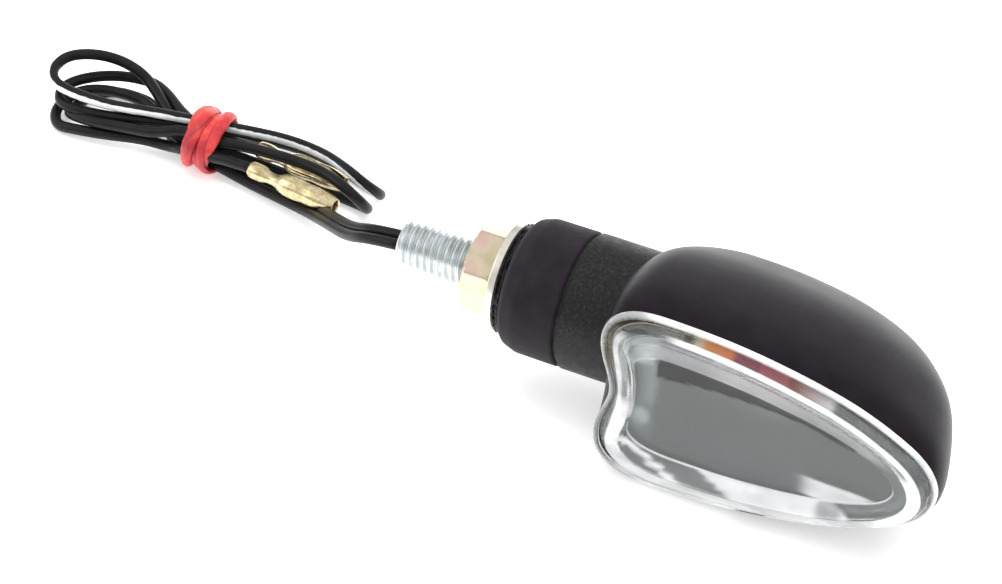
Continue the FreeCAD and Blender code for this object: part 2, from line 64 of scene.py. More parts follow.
def place_camera():
    """The camera at the photograph's angle, with a long lens."""
    azimuth = math.radians(VIEW_AZIMUTH)
    elevation = math.radians(VIEW_ELEVATION)
    roll = math.radians(VIEW_ROLL)
    back = Vector((
        math.sin(azimuth) * math.cos(elevation), -math.cos(azimuth) * math.cos(elevation),
        math.sin(elevation)))
    right = Vector((math.cos(azimuth), math.sin(azimuth), 0))
    up = back.cross(right)
    across = right * math.cos(roll) + up * math.sin(roll)
    upward = up * math.cos(roll) - right * math.sin(roll)
    target = Vector(VIEW_TARGET) * MM
    camera = bpy.data.cameras.new("camera")
    camera.lens = FOCAL_LENGTH
    camera.sensor_width = SENSOR_WIDTH
    camera.clip_start = CLIP_START
    camera.clip_end = CLIP_END
    holder = bpy.data.objects.new("camera", camera)
    turned = Matrix((across, upward, back)).transposed().to_4x4()
    turned.translation = target + back * VIEW_DISTANCE
    holder.matrix_world = turned
    bpy.context.scene.collection.objects.link(holder)
    bpy.context.scene.camera = holder


place_camera()


# ---------------------------------------------------------------- mesh helpers

def mesh_object(name, points, faces, smooth=True, uvs=None, values=None):
    """A linked object from points in metres and faces.

    uvs gives one pair per point; values gives named numbers per point.
    """
    mesh = bpy.data.meshes.new(name)
    mesh.from_pydata([tuple(point) for point in points], [], faces)
    mesh.update()
    if uvs is not None:
        layer = mesh.uv_layers.new(name="along")
        for loop, corner in zip(mesh.loops, layer.data):
            corner.uv = uvs[loop.vertex_index]
    for title, numbers in (values or {}).items():
        layer = mesh.attributes.new(title, "FLOAT", "POINT")
        layer.data.foreach_set("value", numbers)
    for polygon in mesh.polygons:
        polygon.use_smooth = smooth
    piece = bpy.data.objects.new(name, mesh)
    bpy.context.scene.collection.objects.link(piece)
    return piece


def outward(piece):
    """Turn the faces of a closed piece outwards."""
    mesh = bmesh.new()
    mesh.from_mesh(piece.data)
    bmesh.ops.recalc_face_normals(mesh, faces=mesh.faces)
    mesh.to_mesh(piece.data)
    mesh.free()


def sharpen(piece, degrees=35):
    """Mark edges sharper than an angle, so that smooth shading stops there."""
    limit = math.radians(degrees)
    mesh = bmesh.new()
    mesh.from_mesh(piece.data)
    for edge in mesh.edges:
        if len(edge.link_faces) == 2 and edge.calc_face_angle(0) > limit:
            edge.smooth = False
    mesh.to_mesh(piece.data)
    mesh.free()


def skin(name, rings, closed=True, ends="open", uvs=None, around=True, values=None):
    """Join rings of equal count into one surface.

    closed joins the last ring to the first; ends may be "open" or "fan"; around closes each ring.
    """
    count = len(rings[0])
    points = [point for ring in rings for point in ring]
    faces = []
    last = len(rings) if closed else len(rings) - 1
    span = count if around else count - 1
    for i in range(last):
        a = i * count
        b = ((i + 1) % len(rings)) * count
        for j in range(span):
            k = (j + 1) % count
            faces.append((a + j, a + k, b + k, b + j))
    if ends == "fan":
        for ring in (0, len(rings) - 1):
            centre = sum((Vector(point) for point in rings[ring]), Vector()) / count
            points.append(centre)
            hub = len(points) - 1
            start = ring * count
            faces += [(start + j, start + (j + 1) % count, hub) for j in range(count)]
    piece = mesh_object(name, points, faces, uvs=uvs, values=values)
    outward(piece)
    return piece


# How much of a side one rounded corner may take.
CORNER_SHARE = 0.48


def rounded(corners, steps=4):
    """A closed profile with its corners rounded; each corner is (x, r, radius)."""
    out = []
    count = len(corners)
    for i, (x, y, radius) in enumerate(corners):
        here = Vector((x, y))
        before = Vector(corners[i - 1][:2]) - here
        after = Vector(corners[(i + 1) % count][:2]) - here
        half = before.angle(after) / 2
        room = CORNER_SHARE * min(before.length, after.length)
        reach = min(radius / math.tan(half), room)
        start = here + before.normalized() * reach
        end = here + after.normalized() * reach
        for step in range(steps + 1):
            t = step / steps
            out.append(start.lerp(here, t).lerp(here.lerp(end, t), t))
    return out


def lathe(name, corners, segments=96, steps=4, wobble=None):
    """A closed ring turned about X from a rounded profile in millimetres."""
    profile = rounded(corners, steps)
    rings = []
    for j in range(segments):
        angle = TURN * j / segments
        rings.append([
            (p.x * MM, p.y * MM * math.cos(angle), p.y * MM * math.sin(angle)) for p in profile])
    if wobble:
        rings = [[wobble(Vector(point)) for point in ring] for ring in rings]
    piece = skin(name, rings)
    sharpen(piece, 50)
    return piece


def add_piece(piece, body, slot, *nodes, material=None):
    """Put a piece on a body, hide the nodes it stands for, and give it a finish; slot is not used.
    """
    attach(piece, body)
    if nodes:
        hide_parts(*nodes)
    if material is not None:
        piece.data.materials.clear()
        piece.data.materials.append(material)
    return piece


# ---------------------------------------------------------------- material helpers

class Finish:
    """A node material with its principled shader and short ways to wire noise into it."""

    def __init__(self, name, **sockets):
        self.name = name
        self.material = bpy.data.materials.new(name)
        self.material.use_nodes = True
        self.tree = self.material.node_tree
        self.shader = next(node for node in self.tree.nodes if node.type == "BSDF_PRINCIPLED")
        for socket, value in sockets.items():
            self.shader.inputs[socket.replace("_", " ")].default_value = value
        self.where = self.add("ShaderNodeTexCoord").outputs["Object"]
        self.normal = None

    def add(self, kind, **values):
        """A new node with its settings."""
        node = self.tree.nodes.new(kind)
        for key, value in values.items():
            setattr(node, key, value)
        return node

    def link(self, start, end):
        """Wire an output to an input."""
        self.tree.links.new(start, end)

    def stretched(self, scale):
        """Object coordinates scaled unevenly, for grain that runs one way."""
        mapping = self.add("ShaderNodeMapping")
        mapping.inputs["Scale"].default_value = scale
        self.link(self.where, mapping.inputs["Vector"])
        return mapping.outputs["Vector"]

    def noise(self, scale, detail=3.0, rough=0.55, vector=None):
        """Cloudy values around a half, over the object's own coordinates."""
        node = self.add("ShaderNodeTexNoise")
        node.inputs["Scale"].default_value = scale
        node.inputs["Detail"].default_value = detail
        node.inputs["Roughness"].default_value = rough
        self.link(vector or self.where, node.inputs["Vector"])
        return node.outputs["Fac"]

    def ramp(self, factor, stops):
        """A colour looked up between stops of (position, colour)."""
        node = self.add("ShaderNodeValToRGB")
        elements = node.color_ramp.elements
        while len(elements) < len(stops):
            elements.new(0.5)
        for element, (position, color) in zip(elements, stops):
            element.position = position
            element.color = (*color, 1.0)
        self.link(factor, node.inputs["Fac"])
        return node.outputs["Color"]

    def spread(self, factor, low, high, start=0.3, end=0.7):
        """A value taken from the range start to end into the range low to high."""
        node = self.add("ShaderNodeMapRange")
        node.inputs["From Min"].default_value = start
        node.inputs["From Max"].default_value = end
        node.inputs["To Min"].default_value = low
        node.inputs["To Max"].default_value = high
        self.link(factor, node.inputs["Value"])
        return node.outputs["Result"]

    def value(self, title):
        """A number that the mesh carries per point."""
        return self.add("ShaderNodeAttribute", attribute_name=title).outputs["Fac"]

    def arithmetic(self, operation, first, second=None, clamp=False):
        """One step of arithmetic on an output; second is an output or a plain number."""
        node = self.add("ShaderNodeMath", operation=operation, use_clamp=clamp)
        self.link(first, node.inputs[0])
        if isinstance(second, float):
            node.inputs[1].default_value = second
        elif second is not None:
            self.link(second, node.inputs[1])
        return node.outputs[0]

    def along_axis(self, vector, axis):
        """One coordinate of a vector output."""
        node = self.add("ShaderNodeSeparateXYZ")
        self.link(vector, node.inputs["Vector"])
        return node.outputs[axis]

    def blend(self, factor, first, second):
        """Mix two colours; each is an output or a plain colour."""
        node = self.add("ShaderNodeMix", data_type="RGBA")
        self.link(factor, node.inputs["Factor"])
        first_color, second_color = [one for one in node.inputs if one.type == "RGBA"]
        for socket, source in ((first_color, first), (second_color, second)):
            if isinstance(source, tuple):
                socket.default_value = source
            else:
                self.link(source, socket)
        return next(one for one in node.outputs if one.type == "RGBA")

    def color(self, factor, stops):
        """Base colour from a ramp."""
        self.link(self.ramp(factor, stops), self.shader.inputs["Base Color"])

    def roughness(self, factor, low, high):
        """Roughness that follows a noise between two values."""
        self.link(self.spread(factor, low, high), self.shader.inputs["Roughness"])

    def bump(self, height, strength, distance):
        """Relief on top of any that is there already."""
        node = self.add("ShaderNodeBump")
        node.inputs["Strength"].default_value = strength
        node.inputs["Distance"].default_value = distance
        self.link(height, node.inputs["Height"])
        if self.normal is not None:
            self.link(self.normal, node.inputs["Normal"])
        self.normal = node.outputs["Normal"]
        self.link(self.normal, self.shader.inputs["Normal"])


def moulded(name, dark, light, grain, rough, strength=0.25, distance=0.00004, **sockets):
    """Moulded plastic or rubber: mottled colour, uneven gloss and a fine grain."""
    finish = Finish(name, **sockets)
    finish.color(finish.noise(260.0, 4.0), [(0.32, dark), (0.7, light)])
    finish.roughness(finish.noise(90.0, 2.0), rough[0], rough[1])
    finish.bump(finish.noise(grain, 3.0, 0.6), strength, distance)
    return finish


def metal(name, dark, light, rough, patch=420.0):
    """Plated or turned metal: cloudy tone, uneven polish and light scratches."""
    finish = Finish(name, Metallic=1.0)
    finish.color(finish.noise(patch, 4.0), [(0.3, dark), (0.7, light)])
    finish.roughness(finish.noise(patch * 0.6, 3.0), rough[0], rough[1])
    finish.bump(finish.noise(2600.0, 2.0), 0.12, 0.00002)
    return finish


MATERIALS = {}


def keep(finish):
    """File a finish by its name; all but the washer's are slots of the record."""
    MATERIALS[finish.name] = finish.material
    return finish


def make_blacks():
    """Mouldings, rubber and insulation."""
    shell = keep(moulded(
        "housing_black", (0.0065, 0.0047, 0.0068), (0.0105, 0.0078, 0.011), 5200.0, (0.32, 0.38),
        strength=0.22, distance=0.00003, Specular_IOR_Level=0.09, Sheen_Weight=0.02,
        Sheen_Roughness=0.3))
    shell.bump(shell.noise(1500.0, 2.0), 0.08, 0.00005)
    keep(moulded(
        "rubber_black", (0.011, 0.008, 0.0115), (0.018, 0.014, 0.019), 3600.0, (0.6, 0.7),
        strength=0.35, distance=0.00005, Specular_IOR_Level=0.14, Sheen_Weight=0.04,
        Sheen_Roughness=0.5))
    keep(moulded(
        "gloss_black", (0.003, 0.003, 0.003), (0.006, 0.005, 0.006), 1100.0, (0.16, 0.34),
        strength=0.8, distance=0.00025, Specular_IOR_Level=0.25))
    keep(moulded(
        "wire_black", (0.004, 0.004, 0.0045), (0.009, 0.009, 0.01), 2200.0, (0.3, 0.42),
        strength=0.12, Specular_IOR_Level=0.2))
    keep(moulded("plain_black", (0.02, 0.02, 0.02), (0.04, 0.04, 0.04), 3000.0, (0.5, 0.6)))
    keep(moulded("seal_rubber", (0.025, 0.025, 0.026), (0.05, 0.05, 0.052), 4200.0, (0.7, 0.8)))
    keep(moulded("phenolic", (0.1, 0.045, 0.02), (0.2, 0.1, 0.045), 2500.0, (0.4, 0.55)))
    keep(moulded("black_glass", (0.008, 0.008, 0.008), (0.02, 0.02, 0.02), 900.0, (0.08, 0.16)))


def make_stem_finish():
    """Black moulding with pale specks."""
    stem = keep(Finish(
        "stem_black", Specular_IOR_Level=0.22, Sheen_Weight=0.02, Sheen_Roughness=0.4))
    stem.color(stem.noise(1900.0, 5.0, 0.75), [
        (0.42, (0.006, 0.006, 0.0062)), (0.58, (0.012, 0.0125, 0.0125)),
        (0.7, (0.04, 0.041, 0.042))])
    stem.roughness(stem.noise(700.0, 3.0), 0.36, 0.55)
    stem.bump(stem.noise(2400.0, 4.0, 0.7), 0.5, 0.00007)


def make_metals():
    """Plated and turned metals."""
    keep(metal("zinc_steel", (0.5, 0.54, 0.55), (0.76, 0.79, 0.8), (0.24, 0.38)))
    keep(metal("washer_zinc", (0.6, 0.57, 0.49), (0.84, 0.81, 0.74), (0.24, 0.4)))
    keep(metal("socket_steel", (0.02, 0.02, 0.02), (0.06, 0.06, 0.06), (0.35, 0.5)))
    keep(metal("base_nickel", (0.3, 0.3, 0.29), (0.5, 0.5, 0.48), (0.3, 0.45)))
    keep(metal("spring_steel", (0.4, 0.4, 0.42), (0.6, 0.6, 0.62), (0.25, 0.4)))
    keep(metal("tungsten", (0.2, 0.19, 0.18), (0.36, 0.35, 0.34), (0.4, 0.6)))
    keep(metal("solder", (0.5, 0.5, 0.5), (0.75, 0.75, 0.75), (0.3, 0.5)))
    keep(metal("brass", (0.5, 0.34, 0.13), (0.75, 0.56, 0.26), (0.25, 0.42)))
    keep(metal("gold_brass", (0.48, 0.36, 0.15), (0.82, 0.73, 0.49), (0.2, 0.36), patch=900.0))


def make_yellow_zinc():
    """Yellow zinc plate with rosy and greenish patches."""
    zinc = keep(Finish("yellow_zinc", Metallic=1.0))
    zinc.color(zinc.noise(170.0, 2.5, 0.5), [
        (0.3, (0.5, 0.46, 0.27)), (0.42, (0.62, 0.54, 0.36)), (0.52, (0.7, 0.59, 0.46)),
        (0.62, (0.7, 0.51, 0.42)), (0.74, (0.56, 0.53, 0.36))])
    zinc.roughness(zinc.noise(320.0, 3.0), 0.24, 0.4)
    zinc.bump(zinc.noise(1800.0, 3.0), 0.1, 0.00003)


def make_reflector_finish():
    """Metallised plastic, cloudy rather than mirror bright."""
    bowl = keep(Finish("reflector_silver", Metallic=1.0))
    bowl.color(bowl.noise(60.0, 2.0), [(0.3, (0.19, 0.205, 0.21)), (0.7, (0.27, 0.288, 0.293))])
    bowl.roughness(bowl.noise(200.0, 3.0), 0.32, 0.44)
    bowl.bump(bowl.noise(900.0, 3.0), 0.12, 0.00004)


def make_band_finish():
    """Red rubber that lets some light through."""
    band = keep(Finish(
        "band_red", Subsurface_Weight=0.6, Subsurface_Scale=0.0012, IOR=1.5,
        Subsurface_Radius=(1.0, 0.25, 0.2), Coat_Weight=0.2, Coat_Roughness=0.35))
    band.color(band.noise(300.0, 4.0, 0.6), [
        (0.3, (0.36, 0.01, 0.02)), (0.52, (0.55, 0.03, 0.032)), (0.72, (0.72, 0.12, 0.08))])
    band.roughness(band.noise(500.0, 3.0), 0.38, 0.6)
    band.bump(band.noise(700.0, 4.0, 0.65), 0.5, 0.00012)


def make_lens_finish():
    """Clear plastic, with painted highlights, bulb reflection and shade, blurred where the mesh
    says so.
    """
    lens = keep(Finish("clear_lens", IOR=1.5, Specular_IOR_Level=0.32))
    grain = lens.stretched((0.35, 1.0, 1.0))
    streaks = lens.spread(lens.noise(420.0, 3.0, 0.6, grain), 0.7, 1.12)
    # Painted highlight: the lens turns from clear to pale where the mesh's painted highlight is
    # high.
    white = lens.arithmetic("MULTIPLY", lens.value("painted_highlight"), streaks, clamp=True)
    clear = lens.spread(white, 1.0, 0.0, 0.0, 1.0)
    lens.link(clear, lens.shader.inputs["Transmission Weight"])

    pale = lens.ramp(white, [(0.0, (0.86, 0.91, 0.91)), (0.5, (0.95, 0.96, 0.97))])
    # Painted reflection of the amber bulb: amber to maroon along the upper wall, over X from 36 to
    # 60 mm.
    along = lens.spread(lens.along_axis(lens.where, "X"), 0.0, 1.0, 36 * MM, 60 * MM)
    amber_to_maroon = lens.ramp(along, [
        (0.05, (0.75, 0.7, 0.55)), (0.12, (0.8, 0.35, 0.12)), (0.28, (0.8, 0.24, 0.1)),
        (0.32, (0.3, 0.09, 0.12)), (0.62, (0.26, 0.08, 0.1)), (0.72, (0.3, 0.11, 0.1)),
        (1.0, (0.8, 0.82, 0.82))])
    with_bulb_reflection = lens.blend(lens.value("painted_bulb_reflection"), pale, amber_to_maroon)
    # Painted shade: near-black colour where the dish's floor lies along its upper edge.
    color = lens.blend(lens.value("shade"), with_bulb_reflection, (0.012, 0.012, 0.013, 1))
    lens.link(color, lens.shader.inputs["Base Color"])

    uneven = lens.spread(lens.noise(350.0, 3.0), 0.0, 0.03)
    rough = lens.arithmetic("ADD", lens.value("blur"), uneven)
    lens.link(rough, lens.shader.inputs["Roughness"])
    lens.bump(lens.noise(120.0, 1.0), 0.02, 0.0001)


def make_bulb_finish():
    """Amber lacquer on the bulb's sides and a silvered cap on the side that faces the lens."""
    bulb = keep(Finish("amber_glass", IOR=1.5, Coat_Weight=0.6, Coat_Roughness=0.05))
    front = bulb.spread(bulb.along_axis(bulb.where, "Y"), 1.0, 0.0, -4.5 * MM, -3.0 * MM)
    low = bulb.spread(bulb.along_axis(bulb.where, "Z"), 1.0, 0.0, 1.5 * MM, 3.0 * MM)
    silvered = bulb.arithmetic("MULTIPLY", front, low)
    cloud = bulb.noise(350.0, 3.0)
    amber = bulb.ramp(cloud, [(0.3, (0.75, 0.14, 0.01)), (0.7, (0.95, 0.3, 0.03))])
    silver = bulb.ramp(cloud, [(0.3, (0.4, 0.41, 0.42)), (0.7, (0.52, 0.53, 0.54))])
    bulb.link(bulb.blend(silvered, amber, silver), bulb.shader.inputs["Base Color"])
    bulb.link(silvered, bulb.shader.inputs["Metallic"])
    bulb.roughness(cloud, 0.16, 0.3)


def make_stripe_finish():
    """Black wire with a white stripe; the stripe runs along the tube's own map."""
    wire = keep(Finish("wire_striped", Specular_IOR_Level=0.2))
    tube_map = wire.add("ShaderNodeUVMap", uv_map="along").outputs["UV"]
    ragged = wire.spread(wire.noise(900.0, 3.0), -0.012, 0.012)
    across = wire.arithmetic("ADD", wire.along_axis(tube_map, "X"), ragged)
    from_middle = wire.arithmetic("ABSOLUTE", wire.arithmetic("SUBTRACT", across, 0.5))
    stripe = wire.spread(from_middle, 1.0, 0.0, 0.085, 0.1)
    black = wire.ramp(
        wire.noise(600.0, 4.0), [(0.3, (0.004, 0.004, 0.0045)), (0.7, (0.009, 0.009, 0.01))])
    white = wire.ramp(
        wire.noise(420.0, 4.0), [(0.3, (0.6, 0.62, 0.64)), (0.6, (0.82, 0.84, 0.86))])
    wire.link(wire.blend(stripe, black, white), wire.shader.inputs["Base Color"])
    wire.roughness(wire.noise(90.0, 2.0), 0.3, 0.42)
    wire.bump(wire.noise(2200.0, 3.0), 0.12, 0.00004)


make_blacks()
make_stem_finish()
make_metals()
make_yellow_zinc()
make_reflector_finish()
make_band_finish()
make_lens_finish()
make_bulb_finish()
make_stripe_finish()


def dress_nodes():
    """Give every node that the frame shows its slot's finish."""
    for subpart in frame["record"]["subparts"]:
        node = bpy.data.objects.get(subpart["node"])
        for slot in node.material_slots:
            slot.material = MATERIALS[subpart["material_slot"]]


dress_nodes()


# ---------------------------------------------------------------- wires

WIRE_RADIUS = 0.95 * MM
STUD_END = -19.4
# How far each lead leaves the stud from its axis.
# Each lead's route, from the stud's mouth through the bundle to its connector. The first six
# points and the last were chosen. The others began as places picked in the photograph, and a
# separate program then moved them apart. 14 of the plain lead's were moved again.
STRIPED_ROUTE = [
    (-19.4, 1.2, 0.0), (-25.0, 1.5, -0.8), (-30.5, 4.6, -5.0), (-37.0, 11.0, -9.9),
    (-44.0, 17.6, -14.8), (-51.5, 20.3, -16.1), (-58.0, 22.5, -16.9), (-65.0, 23.0, -16.6),
    (-72.5, 24.6, -15.7), (-81.7, 31.8, -13.7), (-84.9, 33.2, -12.2), (-89.1, 33.4, -11.0),
    (-93.7, 32.4, -10.5), (-97.6, 29.9, -10.5), (-98.5, 26.2, -10.8), (-97.4, 23.7, -11.2),
    (-95.2, 22.5, -11.5), (-91.2, 22.2, -11.8), (-84.8, 22.3, -11.8), (-77.6, 23.1, -11.0),
    (-70.0, 24.2, -10.8), (-60.0, 25.3, -10.2), (-52.9, 26.2, -10.1), (-46.2, 26.1, -10.6),
    (-40.5, 22.8, -9.4), (-37.0, 22.7, -11.3), (-35.2, 24.3, -13.7), (-35.9, 26.8, -16.1),
    (-38.8, 28.7, -17.2), (-48.2, 32.1, -16.7), (-55.0, 32.5, -16.8), (-60.4, 31.5, -16.4),
    (-66.0, 26.4, -14.1), (-72.8, 27.1, -14.1), (-81.8, 34.4, -14.6), (-86.9, 34.6, -14.8),
    (-91.4, 33.1, -14.8), (-95.1, 29.4, -14.4), (-96.4, 25.3, -13.9), (-95.6, 22.6, -14.1),
    (-93.7, 21.1, -14.0), (-90.8, 20.8, -13.9), (-85.4, 21.6, -13.8), (-78.9, 22.8, -13.1),
    (-72.0, 24.4, -12.6), (-65.0, 24.4, -13.3), (-61.0, 24.6, -12.9), (-58.0, 24.5, -12.7),
]
PLAIN_ROUTE = [
    (-19.4, -1.2, 0.0), (-25.0, -0.9, -0.8), (-30.5, 2.4, -5.0), (-37.0, 9.0, -9.9),
    (-44.0, 15.6, -14.8), (-51.5, 18.3, -16.1), (-58.1, 20.2, -16.8), (-65.0, 21.2, -16.0),
    (-72.5, 22.0, -16.4), (-81.4, 31.8, -17.0), (-86.2, 32.3, -16.9), (-90.3, 31.8, -17.0),
    (-93.0, 29.0, -17.0), (-93.8, 25.1, -17.1), (-93.5, 21.9, -16.0), (-90.9, 20.2, -14.9),
    (-86.8, 19.6, -14.2), (-81.5, 19.9, -13.5), (-75.6, 20.0, -12.7), (-71.0, 21.5, -11.3),
    (-65.0, 21.3, -11.2), (-58.7, 22.4, -11.2), (-51.6, 22.4, -10.8), (-45.3, 22.0, -10.7),
    (-40.1, 19.8, -10.3), (-36.9, 19.2, -11.7), (-35.6, 20.2, -13.9), (-36.2, 22.3, -16.0),
    (-38.8, 24.0, -17.1), (-45.3, 24.4, -16.9), (-52.7, 25.2, -16.8), (-66.0, 22.4, -13.8),
    (-72.6, 22.1, -14.5), (-81.4, 29.2, -15.1), (-84.7, 29.6, -14.8), (-89.9, 29.5, -15.0),
    (-93.8, 27.3, -15.0), (-95.8, 24.3, -16.0), (-95.9, 21.5, -16.7), (-94.0, 18.9, -17.0),
    (-90.4, 18.6, -16.3), (-85.2, 19.3, -16.0), (-78.5, 20.9, -15.6), (-72.8, 20.9, -15.3),
    (-70.1, 19.5, -13.7), (-65.0, 19.0, -13.0), (-60.5, 18.6, -12.0), (-56.2, 18.0, -11.6),
]


def spline_points(name, points):
    """Points along the smooth curve that a route steers."""
    curve = bpy.data.curves.new(name, "CURVE")
    curve.dimensions = "3D"
    curve.resolution_u = 10
    spline = curve.splines.new("NURBS")
    spline.points.add(len(points) - 1)
    for control, (x, y, z) in zip(spline.points, points):
        control.co = (x * MM, y * MM, z * MM, 1.0)
    spline.order_u = 3
    spline.use_endpoint_u = True
    holder = bpy.data.objects.new(name, curve)
    mesh = bpy.data.meshes.new_from_object(holder)
    line = [vertex.co.copy() for vertex in mesh.vertices]
    bpy.data.meshes.remove(mesh)
    bpy.data.objects.remove(holder)
    bpy.data.curves.remove(curve)
    return line


def length_of(line):
    """Length of a run of points."""
    return sum((b - a).length for a, b in zip(line, line[1:]))


def blended(keys, at):
    """A direction that turns smoothly through keyed directions along a length."""
    for (start, first), (end, second) in zip(keys, keys[1:]):
        if at <= end:
            t = min(max((at - start) / (end - start), 0.0), 1.0)
            t = t * t * (3 - 2 * t)
            return Vector(first).lerp(Vector(second), t)
    return Vector(keys[-1][1])


def tube_along(name, line, radius, keys, sides=20):
    """A round tube; u = 0.5 of its map faces the keyed direction at each share of its length."""
    total = length_of(line)
    rings = []
    uvs = []
    gone = 0.0
    count = len(line)
    for i, point in enumerate(line):
        if i:
            gone += (point - line[i - 1]).length
        tangent = (line[min(i + 1, count - 1)] - line[max(i - 1, 0)]).normalized()
        facing = blended(keys, gone / total)
        facing = (facing - tangent * facing.dot(tangent)).normalized()
        side = tangent.cross(facing)
        ring = []
        for j in range(sides + 1):
            u = j / sides
            angle = TURN * (u - 0.5)
            ring.append(point + radius * (facing * math.cos(angle) + side * math.sin(angle)))
            uvs.append((u, gone))
        rings.append(ring)
    piece = skin(name, rings, closed=False, uvs=uvs, around=False)
    weld_seam(piece)
    return piece


def weld_seam(piece):
    """Join the tube's seam and close its ends."""
    mesh = bmesh.new()
    mesh.from_mesh(piece.data)
    bmesh.ops.remove_doubles(mesh, verts=mesh.verts, dist=1e-7)
    bmesh.ops.holes_fill(mesh, edges=[edge for edge in mesh.edges if edge.is_boundary], sides=0)
    bmesh.ops.recalc_face_normals(mesh, faces=mesh.faces)
    mesh.to_mesh(piece.data)
    mesh.free()
    for polygon in piece.data.polygons:
        polygon.use_smooth = True


# Which way the stripe faces, by share of the lead's length: to the front from 0.38 to 0.55, and
# away from it along nearly all the rest.
AWAY = (0.0, 0.35, -1.0)
FRONT = (0.1, -1.0, 0.12)
STRIPE_KEYS = [
    (0.0, AWAY), (0.22, AWAY), (0.29, (-0.1, 0.9, -0.6)), (0.325, (-0.5, 0.9, 0.0)),
    (0.345, (-0.9, 0.1, 0.4)), (0.36, (-0.35, -0.85, 0.1)), (0.38, FRONT), (0.55, FRONT),
    (0.58, (-0.3, -0.9, -0.3)), (0.6, (-0.7, -0.1, -0.8)), (0.63, (0, 0.3, -1)),
    (0.78, (0, 0.9, -0.5)), (0.95, (0, 0.9, -0.5)), (1.0, AWAY),
]


def make_wires():
    """Both leads, each one cord from the stud's mouth through the bundle to its bullet."""
    lines = {
        "wire_striped": spline_points("striped_line", STRIPED_ROUTE),
        "wire_plain": spline_points("plain_line", PLAIN_ROUTE),
    }
    wires = {}
    for name, line in lines.items():
        wires[name] = tube_along(name, line, WIRE_RADIUS, STRIPE_KEYS)
    add_piece(
        wires["wire_striped"], "lamp", "wire_striped", "lead_striped", "wire_hank",
        material=MATERIALS["wire_striped"])
    add_piece(
        wires["wire_plain"], "lamp", "wire_black", "lead_plain", material=MATERIALS["wire_black"])
    return wires, lines


wires, lines = make_wires()


# ---------------------------------------------------------------- bullets

def bullet_mesh(name):
    """Gold bullet connector along +X: crimp on the insulation, open saddle, barrel, split nose."""
    widest = 1.95 * 1.02
    profile = [
        (0.0, 0.98), (0.12, 1.32), (0.5, 1.5), (2.5, 1.5), (3.1, 1.36), (3.6, 1.16), (4.2, 1.1),
        (5.2, 1.12), (5.9, 1.3), (6.6, 1.62), (7.3, 1.86), (8.2, 1.95), (9.2, 1.95), (10.2, 1.92),
        (10.9, 1.82), (11.4, 1.76), (11.9, 1.8), (12.8, 1.88), (13.9, 1.86), (15.0, 1.76),
        (16.2, 1.58), (17.0, 1.42), (17.35, 1.32), (17.4, 1.2), (17.3, 1.05), (17.0, 1.0),
        (13.6, 0.95), (13.4, 0.0001),
    ]
    # How many of the profile's rings are on its outside, and the angles of the groove and the seam.
    outside = 23
    groove_at, seam_at = 1.57, 2.6
    segments = 48
    rings = []
    for i, (x, r) in enumerate(profile):
        ring = []
        for j in range(segments):
            angle = TURN * j / segments
            radius = r
            if 0.1 < x < 3.4:
                # The crimp's two wings meet in a groove on top and leave it squarer than round.
                groove = math.exp(-((angle - groove_at) / 0.25) ** 2)
                radius *= 1.0 + 0.05 * math.cos(4 * angle) - 0.25 * groove
            if 3.4 < x < 6.4:
                # The saddle behind it lies open on the same side.
                radius *= 1.0 - 0.32 * math.exp(-((angle - groove_at) / 0.8) ** 2)
            if 7.0 < x < 17.1 and i < outside:
                # The barrel is rolled from sheet, so a seam runs along it.
                radius *= 1.0 - 0.06 * math.exp(-((angle - seam_at) / 0.09) ** 2)
            if i < outside:
                place = Vector((x * 1.1, math.cos(angle) * r, math.sin(angle) * r))
                radius *= 1.0 + 0.04 * noise.noise(place * 1.3)
            radius = min(radius, widest)
            ring.append((x * MM, radius * MM * math.cos(angle), radius * MM * math.sin(angle)))
        rings.append(ring)
    piece = skin(name, rings, closed=False, ends="fan")
    sharpen(piece, 60)
    modifier = piece.modifiers.new("smooth", "SUBSURF")
    modifier.levels = 1
    modifier.render_levels = 1
    return piece


def make_bullets():
    """Both connectors: where each starts, which way it points and how it is rolled."""
    places = {
        "bullet_plain": ((-56.2, 17.95, -11.6), (1, -0.14, 0), -0.3),
        "bullet_striped": ((-58.0, 24.5, -12.7), (1, -0.1, 0), 0.5),
    }
    out = {}
    for node, (start, direction, roll) in places.items():
        piece = bullet_mesh(node + "_detail")
        turn = Vector(direction).to_track_quat("X", "Z").to_matrix().to_4x4()
        place = Matrix.Translation(Vector(start) * MM) @ turn @ Matrix.Rotation(roll, 4, "X")
        piece.data.transform(place)
        out[node] = add_piece(piece, "lamp", "gold_brass", node, material=MATERIALS["gold_brass"])
    return out


bullets = make_bullets()


# ---------------------------------------------------------------- rubber band

BAND_CENTRE = (-66.9, 23.4, -13.3)
BAND_TURNS = 5
STEPS_PER_TURN = 90
BAND_SIDES = 14
BAND_HALF_THICKNESS = 0.52 * MM
# Half width and half height that each turn's lift is added to.
BAND_ACROSS, BAND_UP = 4.95, 3.75


